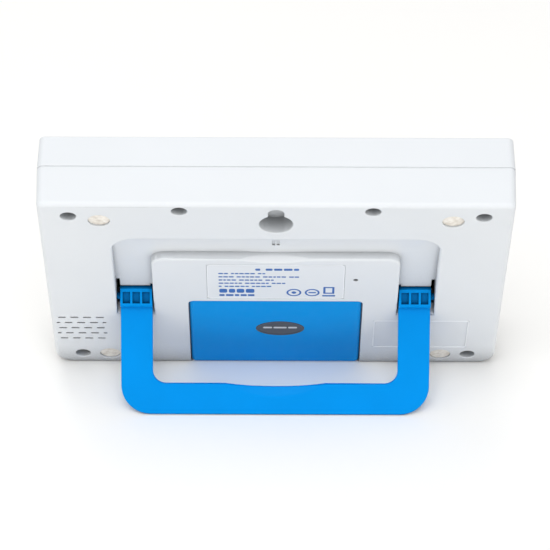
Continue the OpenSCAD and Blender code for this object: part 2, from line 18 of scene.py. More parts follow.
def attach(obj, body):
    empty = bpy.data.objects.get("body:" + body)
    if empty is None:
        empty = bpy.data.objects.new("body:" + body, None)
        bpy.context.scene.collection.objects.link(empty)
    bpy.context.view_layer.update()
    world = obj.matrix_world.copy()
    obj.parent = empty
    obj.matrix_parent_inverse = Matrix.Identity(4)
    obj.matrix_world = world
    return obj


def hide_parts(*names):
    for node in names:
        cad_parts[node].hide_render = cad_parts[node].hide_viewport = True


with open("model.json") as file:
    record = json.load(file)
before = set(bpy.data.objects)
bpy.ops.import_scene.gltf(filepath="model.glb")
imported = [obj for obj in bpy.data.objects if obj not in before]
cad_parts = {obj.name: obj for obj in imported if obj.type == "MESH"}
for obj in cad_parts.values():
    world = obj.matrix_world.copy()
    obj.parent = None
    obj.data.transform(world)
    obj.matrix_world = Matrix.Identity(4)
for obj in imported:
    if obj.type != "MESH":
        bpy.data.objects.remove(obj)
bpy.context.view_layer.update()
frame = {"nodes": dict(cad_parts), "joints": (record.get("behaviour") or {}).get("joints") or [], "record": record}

# --- Sizes that the CAD source also holds, in millimetres and degrees --------------------
MM = 0.001
CASE_W = 190.6
CASE_H = 135.4
CASE_D = 32.2
REAR_D = 17.6
KEYHOLE_Y, KEYHOLE_R = 120, 6.8
SLOT_END_Y, SLOT_R = 128.6, 3.2
OPEN_ANGLE = 131.3
PANEL_TOP = 91.3
PANEL_SCOOP_HALF = 17
RECESS_HALF = 66.5
RECESS_LOW, RECESS_TOP = 40, 108.5
BAY_HALF, BAY_TOP = 37, 56.5
ARMS_HALF = 65.5                  # only the handle's pegs lie further out
HANDLE_SCOOP_HALF = 22
HANDLE_SCOOP_Y = (36.5, 38.5)
VENTS_X = (-95, -69)
VENTS_Y = (20, 43)
VENTS_OUTER = -92.6               # the half slots' blunt ends lie beyond this
RESET_AT, RESET_R = (33, 74.3), 1
JACK_Y = (58, 66)
WELLS = [(-82.7, 125.9), (82.7, 125.9), (-38.5, 130.2), (38.5, 130.2), (-82.9, 8.3), (82.9, 8.3)]
WELL_R = 3.2
MAGNETS = [(-70.6, 122.6), (70.6, 122.6), (-71.2, 8.2), (71.2, 8.2)]
MAGNET_R = 4.35
LABEL_HALF = 28.3
LABEL_LOW, LABEL_HIGH = 58.5, 87
LABEL_FACE = -0.05
RATING_X = (41.6, 82)
RATING_Y = (15, 39)
BADGE_AT = (2, 31.7)
BADGE_W, BADGE_H = 20.5, 12.5
WINDOW_W, WINDOW_H = 146, 84
WINDOW_Y = 79
WINDOW_BACK = -30.5
VIEW_HALF_W, VIEW_HALF_H = 64, 34  # half sizes of the clear opening in the window's border
LCD_FACE = -29.3
KEY_Y = 21
KEY_PITCH = 28
KEY_FACE = -33.2
CELL_D = 14.5
CELL_LEN = 50.5
CELL_Y, CELL_Z = 28, -9.95
CELL_PITCH = 15.2
CELL_TIP = 29                     # from the bay's middle to the end of a cell's button
CELL_SIDE = (1, -1, 1)
SEAM_W, SEAM_DEEP = 0.7, 0.9
LOW_R, HIGH_R = 8, 2.6            # radii of the case's lower and upper corners

# --- Sizes that only the looks have, in millimetres and degrees ---------------------------
DRAFT = 0.45                      # how much narrower the case is at its edges than at the seam
DRAFT_REACH = 8
SEAM_SHOWN = 0.3                  # depth of the seam's groove that is drawn
LIP = (0.2, 0.6)                  # the seam's lips lie this far from its middle
RIM = 0.9                         # widest rounding on the rear case
CREASE = 40                       # an edge with a smaller turn is shaded as smooth
SHARP = 15                        # an edge with a smaller turn belongs to a curved face
FLAT = 0.4                        # faces with a smaller turn between them are one face
WELD = 0.002                      # corners closer than this are one corner


def case_matrix():
    """From the case's millimetres to the row frame, worked out from the keyhole's mount."""
    keyhole = next(m for m in frame["record"]["mounts"] if m["name"] == "keyhole")
    out = Vector(keyhole["axis"])
    across = Vector((-1, 0, 0))
    up = out.cross(across)
    middle = Vector(keyhole["pos_m"]) + out * keyhole["dims"]["length_mm"] / 2 * MM
    origin = middle - up * KEYHOLE_Y * MM
    turn = Matrix((across, up, out)).transposed().to_4x4()
    return Matrix.Translation(origin) @ turn @ Matrix.Scale(MM, 4)


CASE = case_matrix()
PIVOT = CASE.inverted() @ Vector(
    next(j for j in frame["joints"] if j["name"] == "handle_fold")["pos_m"])
HANDLE = CASE @ Matrix.Translation(PIVOT) @ Matrix.Rotation(math.radians(OPEN_ANGLE), 4, "X")


# --- Camera, floor and light ----------------------------------------------------------------
CAMERA_AT = Vector((-2.1, 1131.8, 581.8))     # this and the next in the case's millimetres
CAMERA_AIM = Vector((-0.3, 78.7, 0))
CAMERA_ROLL = 0.27
CAMERA_LENS = 191.5


def make_camera():
    data = bpy.data.cameras.new("camera")
    data.lens = CAMERA_LENS
    data.sensor_width = 36
    camera = bpy.data.objects.new("camera", data)
    bpy.context.scene.collection.objects.link(camera)
    place, aim = CASE @ CAMERA_AT, CASE @ CAMERA_AIM
    turn = (aim - place).to_track_quat("-Z", "Y").to_matrix().to_4x4()
    roll = Matrix.Rotation(math.radians(CAMERA_ROLL), 4, "Z")
    camera.matrix_world = Matrix.Translation(place) @ turn @ roll
    data.clip_start, data.clip_end = 0.01, 100
    bpy.context.scene.camera = camera


def make_light(name, at, aim, size, power):
    data = bpy.data.lights.new(name, "AREA")
    data.shape = "DISK"
    data.size = size
    data.energy = power
    light = bpy.data.objects.new(name, data)
    bpy.context.scene.collection.objects.link(light)
    turn = (Vector(aim) - Vector(at)).to_track_quat("-Z", "Y").to_matrix().to_4x4()
    light.matrix_world = Matrix.Translation(at) @ turn


def make_studio():
    """A pale floor under an even white sky, with soft lights above and all round."""
    bpy.context.scene.view_settings.view_transform = "Standard"
    world = bpy.data.worlds.new("studio")
    world.use_nodes = True
    background = world.node_tree.nodes["Background"]
    background.inputs["Color"].default_value = (0.985, 0.99, 1, 1)
    background.inputs["Strength"].default_value = 0.475
    bpy.context.scene.world = world
    make_light("overhead", (0.1, 0.1, 1.6), (0, 0, 0.05), 1.6, 4)
    make_light("left", (1.5, 0.9, 0.9), (0, 0, 0.06), 1.2, 3.6)
    make_light("right", (-1.5, 1.1, 0.7), (0, 0, 0.06), 1.2, 4)
    make_light("front", (0.3, -1.8, 1.3), (0, -0.8, 0), 1.6, 11)
    make_light("behind", (-0.1, 1.6, 0.5), (0, 0, 0.02), 1.4, 4)
    make_light("behind_high", (0.1, 0.9, 1.4), (0, 0.05, 0), 1, 10.5)
    bm = bmesh.new()
    bmesh.ops.create_circle(bm, cap_ends=True, segments=96, radius=14)
    floor = add_object("floor", bm, Matrix.Identity(4))
    floor.data.materials.append(paint("floor_paper", (0.98, 0.972, 0.95), 0.9,
                                      variation=0.01, patch=3, grain=900, relief=0.02))


# --- Materials --------------------------------------------------------------------------------
class Nodes:
    """Short names for the shader nodes that the materials share."""

    def __init__(self, name):
        self.material = bpy.data.materials.new(name)
        self.material.use_nodes = True
        self.tree = self.material.node_tree
        self.shader = self.tree.nodes["Principled BSDF"]
        self.place = self.tree.nodes.new("ShaderNodeTexCoord").outputs["Object"]

    def link(self, out, socket):
        self.tree.links.new(out, socket)

    def add(self, kind, **values):
        node = self.tree.nodes.new(kind)
        for key, value in values.items():
            setattr(node, key, value)
        return node

    def noise(self, scale, detail=3, roughness=0.5, stretch=None):
        node = self.add("ShaderNodeTexNoise")
        node.inputs["Scale"].default_value = scale
        node.inputs["Detail"].default_value = detail
        node.inputs["Roughness"].default_value = roughness
        place = self.place
        if stretch:
            mapping = self.add("ShaderNodeMapping")
            mapping.inputs["Scale"].default_value = stretch
            self.link(place, mapping.inputs["Vector"])
            place = mapping.outputs["Vector"]
        self.link(place, node.inputs["Vector"])
        return node.outputs["Fac"]

    def ranged(self, value, low, high, to_low, to_high):
        node = self.add("ShaderNodeMapRange")
        for name, bound in zip(("From Min", "From Max", "To Min", "To Max"),
                               (low, high, to_low, to_high)):
            node.inputs[name].default_value = bound
        self.link(value, node.inputs["Value"])
        return node.outputs["Result"]

    def feed(self, value, socket):
        """Links another node's output to a socket, or sets the socket to a number or colour."""
        if isinstance(value, bpy.types.NodeSocket):
            self.link(value, socket)
        elif isinstance(value, (int, float)):
            socket.default_value = value
        else:
            socket.default_value = (*value, 1)

    def mix(self, fac, first, second):
        """First colour where fac is 0, second where it is 1."""
        node = self.add("ShaderNodeMix", data_type="RGBA")
        for value, at in ((fac, 0), (first, 6), (second, 7)):
            self.feed(value, node.inputs[at])
        return node.outputs[2]

    def times(self, first, second):
        node = self.add("ShaderNodeMath", operation="MULTIPLY", use_clamp=True)
        self.feed(first, node.inputs[0])
        self.feed(second, node.inputs[1])
        return node.outputs["Value"]

    def edges(self, radius):
        """1 along convex and concave edges, where the paler edge colour goes (scuffs and painted highlight), 0 on
        open faces.
        """
        bevel = self.add("ShaderNodeBevel", samples=4)
        bevel.inputs["Radius"].default_value = radius
        flat = self.add("ShaderNodeNewGeometry")
        dot = self.add("ShaderNodeVectorMath", operation="DOT_PRODUCT")
        self.link(bevel.outputs["Normal"], dot.inputs[0])
        self.link(flat.outputs["Normal"], dot.inputs[1])
        return self.ranged(dot.outputs["Value"], 0.995, 0.9, 0, 1)

    def crevices(self, distance):
        """1 on open faces, down to 0 deep in corners and holes."""
        node = self.add("ShaderNodeAmbientOcclusion", samples=4)
        node.inputs["Distance"].default_value = distance
        return node.outputs["AO"]

    def bump(self, height, strength, distance):
        node = self.add("ShaderNodeBump")
        node.inputs["Strength"].default_value = strength
        node.inputs["Distance"].default_value = distance
        self.link(height, node.inputs["Height"])
        self.link(node.outputs["Normal"], self.shader.inputs["Normal"])


def scaled(color, by):
    """Lighter or darker colour."""
    return tuple(min(1, c * by) for c in color)


def paint(name, color, roughness, variation=0.03, patch=30, grain=2500, relief=0.12,
          wear_and_highlight=0.0, corner_shade=0.0, hole_shade=0.0, **shader):
    """Moulded or painted surface: patches of slightly different shade and gloss, a fine
    grain, paler edges that are partly scuffed plastic and partly a painted highlight, painted
    shade in the corners and a darker painted shade deep in holes."""
    made = Nodes(name)
    patches = made.noise(patch, 4)
    color_out = made.mix(made.ranged(patches, 0.3, 0.7, 0, 1),
                         scaled(color, 1 - variation), scaled(color, 1 + variation))
    # Paler edges: partly scuffed plastic, partly a painted highlight along the rounded edges.
    if wear_and_highlight:
        worn_and_lit = made.times(made.times(made.edges(0.0005), made.noise(patch * 6, 3)), wear_and_highlight)
        color_out = made.mix(worn_and_lit, color_out, scaled(color, 1.35))
    # Painted shade in corners and creases, where ambient occlusion is low.
    if corner_shade:
        corner = made.ranged(made.crevices(0.004), 0.1, 0.8, corner_shade, 0)
        color_out = made.mix(corner, color_out, scaled(color, 0.35))
    # Painted shade deep in holes and wells, where ambient occlusion over a wider reach is low.
    if hole_shade:
        deep = made.ranged(made.crevices(0.02), 0.1, 0.45, hole_shade, 0)
        color_out = made.mix(deep, color_out, scaled(color, 0.12))
    made.link(color_out, made.shader.inputs["Base Color"])
    scuffs = made.noise(patch * 9, 5, 0.6)
    made.link(made.ranged(scuffs, 0.25, 0.75, roughness - 0.06, roughness + 0.07),
              made.shader.inputs["Roughness"])
    made.bump(made.noise(grain, 2), relief, 0.00002)
    for key, value in shader.items():
        made.shader.inputs[key.replace("_", " ")].default_value = value
    return made.material


def magnet_coat():
    """Cream coating with tan and white blotches."""
    made = Nodes("magnet_coat")
    blotch = made.noise(420, 5, 0.65)
    color = made.mix(made.ranged(blotch, 0.35, 0.62, 0, 1), (0.66, 0.6, 0.52), (0.9, 0.86, 0.79))
    color = made.mix(made.ranged(made.noise(900, 2), 0.6, 0.75, 0, 0.5), color, (0.95, 0.95, 0.95))
    made.link(color, made.shader.inputs["Base Color"])
    made.link(made.ranged(blotch, 0.3, 0.7, 0.34, 0.6), made.shader.inputs["Roughness"])
    made.bump(blotch, 0.3, 0.00005)
    return made.material


def brushed_metal():
    """Nickel plate with fine streaks along one direction."""
    made = Nodes("nickel_plate")
    color = (0.72, 0.71, 0.69)
    streaks = made.noise(2600, 4, 0.6, (1, 0.08, 1))
    tone = made.mix(made.ranged(streaks, 0.3, 0.7, 0, 1), scaled(color, 0.82), color)
    made.link(tone, made.shader.inputs["Base Color"])
    made.link(made.ranged(made.noise(70, 3), 0.3, 0.7, 0.22, 0.42),
              made.shader.inputs["Roughness"])
    made.shader.inputs["Metallic"].default_value = 1
    made.bump(streaks, 0.15, 0.00002)
    return made.material


def circuit_board():
    """Green solder mask over faint straight tracks."""
    made = Nodes("solder_mask")
    tracks = made.add("ShaderNodeTexBrick")
    tracks.inputs["Scale"].default_value = 160
    tracks.inputs["Mortar Size"].default_value = 0.06
    made.link(made.place, tracks.inputs["Vector"])
    color = made.mix(tracks.outputs["Fac"], (0.02, 0.17, 0.08), (0.05, 0.3, 0.14))
    color = made.mix(made.ranged(made.noise(45, 3), 0.3, 0.7, 0, 0.35), color, (0.02, 0.12, 0.06))
    made.link(color, made.shader.inputs["Base Color"])
    made.link(made.ranged(made.noise(300, 3), 0.3, 0.7, 0.3, 0.45),
              made.shader.inputs["Roughness"])
    made.bump(tracks.outputs["Fac"], 0.3, 0.00004)
    return made.material


def lcd_back():
    """Grey-green reflective film of the display, a little cloudy."""
    made = Nodes("lcd_film")
    cloud = made.noise(18, 2)
    color = made.mix(made.ranged(cloud, 0.3, 0.7, 0, 1), (0.36, 0.41, 0.35), (0.45, 0.5, 0.43))
    made.link(color, made.shader.inputs["Base Color"])
    speckle = made.noise(5200, 2)
    made.link(made.ranged(speckle, 0.3, 0.7, 0.3, 0.48), made.shader.inputs["Roughness"])
    made.shader.inputs["Metallic"].default_value = 0.25
    made.bump(speckle, 0.12, 0.00002)
    return made.material


def clear_window():
    """Clear plastic: mostly see-through, with gloss and faint fine scratches."""
    made = Nodes("window_clear")
    color = (0.8, 0.85, 0.87)
    scratches = made.noise(700, 5, 0.7, (1, 0.06, 1))
    made.link(made.mix(made.ranged(made.noise(25, 3), 0.3, 0.7, 0, 1), scaled(color, 0.94), color),
              made.shader.inputs["Base Color"])
    made.link(made.ranged(scratches, 0.4, 0.75, 0.06, 0.18), made.shader.inputs["Roughness"])
    made.shader.inputs["Alpha"].default_value = 0.14
    made.shader.inputs["Coat Weight"].default_value = 0.5
    made.shader.inputs["Coat Roughness"].default_value = 0.04
    made.bump(scratches, 0.05, 0.00001)
    return made.material


SHELL_WHITE = (0.72, 0.744, 0.768)
HANDLE_BLUE = (0.0002, 0.262, 0.73)
DOOR_BLUE = (0.0005, 0.28, 0.73)
# In these materials the edge amount paints paler edges (partly scuffs, partly painted highlight), and the corner
# and hole amounts paint shade into corners and holes.
MATERIALS = {
    "shell": paint("shell_white", SHELL_WHITE, 0.42, variation=0.012, patch=22, grain=2800,
                   relief=0.14, wear_and_highlight=0.25, corner_shade=0.6, hole_shade=0.9, Specular_IOR_Level=0.35),
    "blue": paint("handle_blue", HANDLE_BLUE, 0.32, variation=0.04, patch=28, grain=2600,
                  relief=0.14, wear_and_highlight=0.5, corner_shade=0.6, hole_shade=0.9, Specular_IOR_Level=0.03),
    "door": paint("door_blue", DOOR_BLUE, 0.42, variation=0.04, patch=24, grain=2600,
                  relief=0.16, wear_and_highlight=0.4, corner_shade=0.3, Specular_IOR_Level=0.06),
    "badge": paint("badge_grey", (0.05, 0.055, 0.062), 0.35, variation=0.12, patch=240,
                   grain=3000, relief=0.08, wear_and_highlight=0.4),
    "badge_mark": paint("badge_mark", (0.6, 0.61, 0.63), 0.4, variation=0.05, patch=500,
                        grain=4000, relief=0.05),
    "print": paint("label_ink", (0.03, 0.13, 0.42), 0.5, variation=0.15, patch=420,
                   grain=5000, relief=0.05),
    "grey": paint("grey_plastic", (0.6, 0.61, 0.6), 0.45, variation=0.04, wear_and_highlight=0.3, corner_shade=0.3),
    "rubber": paint("elastomer", (0.03, 0.03, 0.032), 0.7, variation=0.1, grain=1800, relief=0.3),
    "chip": paint("chip_black", (0.022, 0.022, 0.025), 0.5, variation=0.15, patch=90,
                  grain=1800, relief=0.25, wear_and_highlight=0.3),
    "key": paint("key_grey", (0.33, 0.37, 0.42), 0.45, variation=0.03, patch=60, grain=2400,
                 relief=0.16, wear_and_highlight=0.5, corner_shade=0.3),
    "key_mark": paint("key_mark", (0.85, 0.87, 0.9), 0.45, variation=0.04, patch=300,
                      grain=4000, relief=0.05),
    "border": paint("window_border", (0.16, 0.2, 0.25), 0.35, variation=0.04, patch=80,
                    grain=4000, relief=0.04),
    "segment": paint("lcd_segment", (0.012, 0.014, 0.016), 0.35, variation=0.2, patch=160,
                     grain=4000, relief=0.03),
    "sleeve": paint("cell_sleeve", (0.02, 0.028, 0.045), 0.28, variation=0.12, patch=60,
                    grain=1500, relief=0.06, wear_and_highlight=0.5, Coat_Weight=0.6, Coat_Roughness=0.12),
    "band": paint("cell_band", (0.55, 0.3, 0.05), 0.28, variation=0.06, patch=60,
                  grain=1500, relief=0.06, Coat_Weight=0.6, Coat_Roughness=0.12),
    "magnet": magnet_coat(),
    "metal": brushed_metal(),
    "board": circuit_board(),
    "lcd": lcd_back(),
    "edge": paint("edge_line", (0.9, 0.92, 0.94), 0.35, variation=0.02, patch=200, grain=4000,
                  relief=0.05),
    "window": clear_window(),
    "film": paint("label_film", (0.74, 0.764, 0.788), 0.42, variation=0.01, patch=22, grain=5000,
                  relief=0.03, Specular_IOR_Level=0.35),
}


# --- Building pieces -----------------------------------------------------------------------
def add_object(name, bm, place):
    """Object from a bmesh drawn in place's own units, with smooth shading and sharp creases."""
    bmesh.ops.recalc_face_normals(bm, faces=bm.faces)
    bm.transform(place)
    mesh = bpy.data.meshes.new(name)
    bm.to_mesh(mesh)
    bm.free()
    for layer in ("custom_normal", "sharp_edge", "sharp_face"):
        if layer in mesh.attributes:
            mesh.attributes.remove(mesh.attributes[layer])
    mesh.polygons.foreach_set("use_smooth", [True] * len(mesh.polygons))
    mesh.set_sharp_from_angle(angle=math.radians(CREASE))
    piece = bpy.data.objects.new(name, mesh)
    bpy.context.scene.collection.objects.link(piece)
    return piece


def finish_piece(piece, body, material, slot, *nodes):
    """Gives a piece its material and body, and hides the CAD nodes that it stands for; slot is not used."""
    piece.data.materials.append(MATERIALS[material])
    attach(piece, body)
    if nodes:
        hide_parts(*nodes)


def inside_border(spots, starts, ends):
    """Tells which spots lie inside a closed flat border, given by both ends of its edges."""
    x, y = spots[:, :1], spots[:, 1:]
    (x0, y0), (x1, y1) = starts.T, ends.T
    spans = (y0 > y) != (y1 > y)
    crossing = x0 + (x1 - x0) * (y - y0) / np.where(y1 == y0, 1, y1 - y0)
    return (spans & (x < crossing)).sum(axis=1) % 2 == 1


def fill_flat(bm):
    """Divides flat faces into triangles where their borders cross a little, as they can
    where two roundings meet, because such a face isn't drawn properly. Then it fills the
    slits that are left."""
    bm.normal_update()
    drawn = {}
    for a, b, c in bm.calc_loop_triangles():
        size = (b.vert.co - a.vert.co).cross(c.vert.co - a.vert.co).length / 2
        drawn[a.face] = drawn.get(a.face, 0) + size
    spare = 0.02 * MM ** 2
    crossed = [f for f, size in drawn.items() if size > f.calc_area() + spare]
    for face in crossed:
        verts = list(face.verts)
        to_flat = face.normal.rotation_difference(Vector((0, 0, 1)))
        flat = [to_flat @ v.co / MM for v in verts]
        sides = [(k - 1, k) for k in range(len(verts))]
        points, _, parts, origin, *_ = delaunay_2d_cdt([p.to_2d() for p in flat], sides, [], 0, 1e-5)
        back = to_flat.inverted()
        found = [verts[o[0]] if o else bm.verts.new(back @ (Vector((*p, flat[0].z)) * MM))
                 for p, o in zip(points, origin)]
        spots = np.array([sum((points[k] for k in part), Vector((0, 0))) / 3 for part in parts])
        outline = np.array([p.to_2d() for p in flat])
        kept = inside_border(spots, np.roll(outline, 1, axis=0), outline)
        for part, keep in zip(parts, kept):
            corners = {found[k]: None for k in part}
            if keep and len(corners) == 3 and bm.faces.get(list(corners)) is None:
                bm.faces.new(list(corners))
        bm.faces.remove(face)
    bmesh.ops.holes_fill(bm, edges=[e for e in bm.edges if e.is_boundary], sides=0)


def round_edges(piece, radius, segments):
    """Rounds the edges that carry a bevel weight and keeps the result in the mesh."""
    add_rounding(piece, radius, segments, "WEIGHT")
    graph = bpy.context.evaluated_depsgraph_get()
    mesh = bpy.data.meshes.new_from_object(piece.evaluated_get(graph))
    piece.modifiers.clear()
    bm = bmesh.new()
    bm.from_mesh(mesh)
    bpy.data.meshes.remove(mesh)
    fill_flat(bm)
    old = piece.data
    name = piece.name
    bpy.data.objects.remove(piece)
    bpy.data.meshes.remove(old)
    piece = add_object(name, bm, Matrix.Identity(4))
    weigh_normals(piece)
    return piece


def weigh_normals(piece):
    """Shading that follows the large faces, so that a rounding doesn't darken them."""
    shade = piece.modifiers.new("shading", "WEIGHTED_NORMAL")
    shade.keep_sharp = True
    shade.weight = 80


def add_rounding(piece, radius, segments, limit):
    """Rounding of the edges that carry a bevel weight (WEIGHT) or of all sharp ones (ANGLE)."""
    bevel = piece.modifiers.new("rounding", "BEVEL")
    bevel.width = radius * MM
    bevel.segments = segments
    bevel.limit_method = limit
    bevel.angle_limit = math.radians(35)
    bevel.use_clamp_overlap = False
    bevel.loop_slide = False
    bevel.miter_outer = "MITER_SHARP"
    bevel.harden_normals = False


def soften(piece, radius):
    """Rounds all sharp edges of a small piece."""
    add_rounding(piece, radius, 2, "ANGLE")
    weigh_normals(piece)


def rounded_copy(node, place, radius, pick, segments=3, shift=None):
    """Copy of a CAD node whose visible edges are rounded.

    pick(middle, turn) gives an edge's share of radius, from 0 to 1. turn is the angle between
    its faces in degrees, positive where the edge sticks out."""
    bm = bmesh.new()
    bm.from_mesh(frame["nodes"][node].data)
    bm.transform(place.inverted())
    bmesh.ops.remove_doubles(bm, verts=bm.verts, dist=WELD)
    if shift:
        for v in bm.verts:
            v.co = shift(v.co)
    bmesh.ops.dissolve_limit(bm, angle_limit=math.radians(FLAT), verts=bm.verts, edges=bm.edges)
    weights = bm.edges.layers.float.new("bevel_weight_edge")
    bm.normal_update()
    for e in bm.edges:
        if len(e.link_faces) == 2:
            turn = math.degrees(e.calc_face_angle_signed(0))
            if abs(turn) > SHARP:
                e[weights] = pick((e.verts[0].co + e.verts[1].co) / 2, turn)
    return round_edges(add_object(node + "_shape", bm, place), radius, segments)


def wall_depth(point):
    """How far a point lies inside the case's outline, and the way out."""
    r = LOW_R if point.y < CASE_H / 2 else HIGH_R
    across = abs(point.x) - (CASE_W / 2 - r)
    up = abs(point.y - CASE_H / 2) - (CASE_H / 2 - r)
    way = Vector((max(across, 0), max(up, 0)))
    if way.length == 0:
        way = Vector((1, 0)) if across > up else Vector((0, 1))
        return r - max(across, up), way
    return r - way.length, way.normalized()


def drafted(point):
    """Moves the case's outer walls in a little, away from the seam, as on a moulded part,
    and makes the seam's groove shallow. The lower wall stays, because the battery door is
    flush with it."""
    inward, way = wall_depth(point)
    if abs(point.z + REAR_D) < SEAM_W / 2 + 0.01 and abs(inward - SEAM_DEEP) < 0.05:
        out = way * (SEAM_DEEP - SEAM_SHOWN)
        point = Vector((point.x + math.copysign(out.x, point.x),
                        point.y + math.copysign(out.y, point.y - CASE_H / 2), point.z))
    depth = REAR_D if point.z > -REAR_D else CASE_D - REAR_D
    most = DRAFT * min(1, abs(point.z + REAR_D) / depth)
    from_side = max(0, 1 - (CASE_W / 2 - abs(point.x)) / DRAFT_REACH)
    from_top = max(0, 1 - (CASE_H - point.y) / DRAFT_REACH)
    return Vector((point.x - math.copysign(most * from_side, point.x),
                   point.y - most * from_top, point.z))


def seated(point):
    """Sets a magnet a little deeper and closes the gap round it."""
    grown, sunk = 1.02, 0.35
    x, y = min(MAGNETS, key=lambda at: math.hypot(point.x - at[0], point.y - at[1]))
    return Vector((x + (point.x - x) * grown, y + (point.y - y) * grown,
                   point.z - sunk if point.z > -1 else point.z))


def inside(point, xs, ys, margin):
    """Whether a point lies in a rectangle that is larger by a margin all round."""
    return (xs[0] - margin < point.x < xs[1] + margin
            and ys[0] - margin < point.y < ys[1] + margin)


def near(point, spots, reach):
    """Whether a point lies within reach of one of the spots."""
    return any((point.x - x) ** 2 + (point.y - y) ** 2 < reach ** 2 for x, y in spots)


def on_lip(point, side):
    """Whether a point lies on the seam's lip: the rear one if side is 1, the front one if -1."""
    by_wall = abs(point.x) > CASE_W / 2 - 0.8 or not 0.9 <= point.y <= CASE_H - 0.9
    return by_wall and LIP[0] < side * (point.z + REAR_D) < LIP[1]


def rear_edge(middle, turn):
    """Rounding of the rear case: wide on the handle's recess, small on holes and labels."""
    x, y = abs(middle.x), middle.y
    if on_lip(middle, 1):
        return 0.1
    if middle.z < -0.02:
        return 0
    if inside(middle, (-LABEL_HALF, LABEL_HALF), (LABEL_LOW, LABEL_HIGH), 1):
        return 0.1
    if inside(middle, RATING_X, RATING_Y, 0.5):
        return 0.1
    if near(middle, WELLS, WELL_R + 0.4) or near(middle, [(0, KEYHOLE_Y)], KEYHOLE_R + 0.6):
        return 0.45
    if near(middle, [(0, SLOT_END_Y)], SLOT_R + 1.1):
        return 0.45
    if near(middle, MAGNETS, MAGNET_R + 0.65):
        return 0.2
    if near(middle, [RESET_AT], RESET_R + 0.6):
        return 0.3
    if inside(middle, VENTS_X, VENTS_Y, 0):
        return 0.2 if middle.x > VENTS_OUTER else 0
    if x < BAY_HALF and y < BAY_TOP:
        return 0.35
    if x < PANEL_SCOOP_HALF and LABEL_HIGH + 1 < y < PANEL_TOP - 0.01:
        return 0.35
    if turn < 0 or x > RECESS_HALF + 1 or not RECESS_LOW < y < RECESS_TOP + 1:
        return 0
    return min(1, 0.1 + (RECESS_TOP - y) / 8)


def build_rear():
    piece = rounded_copy("rear_case", CASE, RIM, rear_edge, 4, drafted)
    finish_piece(piece, "case", "shell", "white_shell", "rear_case")


def front_edge(middle, _turn):
    """Rounding of the front case: the window's and keys' openings, the seam and the jack."""
    if middle.z < -CASE_D + 0.02:
        return 0.6
    if on_lip(middle, -1):
        return 0.2
    if middle.x > CASE_W / 2 - 0.1 and JACK_Y[0] < middle.y < JACK_Y[1]:
        return 0.8
    return 0


def build_front():
    piece = rounded_copy("front_case", CASE, 0.45, front_edge, 3, drafted)
    finish_piece(piece, "case", "shell", "white_shell", "front_case")


def handle_edge(middle, turn):
    """Rounding of the handle: full on its outline, small on the bosses' pockets."""
    x = abs(middle.x)
    if x > ARMS_HALF:
        return 0
    if middle.z < -0.05:
        return 0.35 if turn > 0 else 0
    if x < HANDLE_SCOOP_HALF and HANDLE_SCOOP_Y[0] < middle.y < HANDLE_SCOOP_Y[1]:
        return 0.5
    return 1 if turn > 0 else 0.3


def build_handle():
    piece = rounded_copy("handle", HANDLE, 0.55, handle_edge, 4)
    finish_piece(piece, "handle", "blue", "blue_plastic", "handle")


def door_edge(middle, turn):
    """Rounding of the battery door: full on its outer edges, small round the badge."""
    if near(middle, [BADGE_AT], BADGE_W / 2 + 0.75):
        return 0.3
    return 1 if turn > 0 and middle.z > -1.2 else 0.3


def build_door():
    piece = rounded_copy("battery_door", CASE, 0.3, door_edge)
    finish_piece(piece, "battery_door", "door", "blue_plastic", "battery_door")


def any_edge(_middle, _turn):
    return 1


def key_edge(middle, _turn):
    """Rounding of a key: only round its face."""
    return 1 if middle.z < KEY_FACE + 0.1 else 0


def build_rounded_nodes():
    """Smaller CAD nodes that only need their edges rounded."""
    for node, body, material, slot, radius in (
        ("magnets", "case", "magnet", "magnet_cream", 0.12),
        ("display_window", "case", "window", "clear_window", 0.3),
        ("lcd_panel", "case", "lcd", "lcd_glass", 0.3),
        ("case_screws", "case", "metal", "bright_metal", 0.25),
        ("radio_module", "case", "metal", "bright_metal", 0.2),
        ("sounder", "case", "chip", "chip_black", 0.3),
        ("power_jack", "case", "chip", "chip_black", 0.2),
        ("contact_plates", "case", "metal", "bright_metal", 0.1),
        ("reset_plunger", "reset_plunger", "grey", "grey_plastic", 0.15),
    ):
        shift = seated if node == "magnets" else None
        piece = rounded_copy(node, CASE, radius, any_edge, shift=shift)
        finish_piece(piece, body, material, slot, node)
    for i in range(5):
        node = f"key_{i + 1}"
        piece = rounded_copy(node, CASE, 0.7, key_edge, 4)
        finish_piece(piece, node, "key", "key_grey", node)


# --- Flat marks: label print, badge, display segments, key icons --------------------------
def plate(bm, outline, low, high):
    """Closed flat plate over an outline of points, between two depths."""
    verts = [bm.verts.new((x, y, low)) for x, y in outline]
    face = bm.faces.new(verts)
    top = bmesh.ops.extrude_face_region(bm, geom=[face])["geom"]
    bmesh.ops.translate(bm, verts=[v for v in top if isinstance(v, bmesh.types.BMVert)],
                        vec=(0, 0, high - low))


def bar_outline(x0, x1, y0, y1, r, steps=5):
    """Rectangle with round corners as a list of points."""
    r = min(r, (x1 - x0) / 2 - 1e-4, (y1 - y0) / 2 - 1e-4)
    corners = ((x1 - r, y1 - r, 0), (x0 + r, y1 - r, 90),
               (x0 + r, y0 + r, 180), (x1 - r, y0 + r, 270))
    return [(cx + r * math.cos(math.radians(start + 90 * k / steps)),
             cy + r * math.sin(math.radians(start + 90 * k / steps)))
            for cx, cy, start in corners for k in range(steps + 1)]


def oval_outline(cx, cy, w, h, steps=64):
    """Ellipse as a list of points."""
    return [(cx + w / 2 * math.cos(2 * math.pi * k / steps),
             cy + h / 2 * math.sin(2 * math.pi * k / steps)) for k in range(steps)]


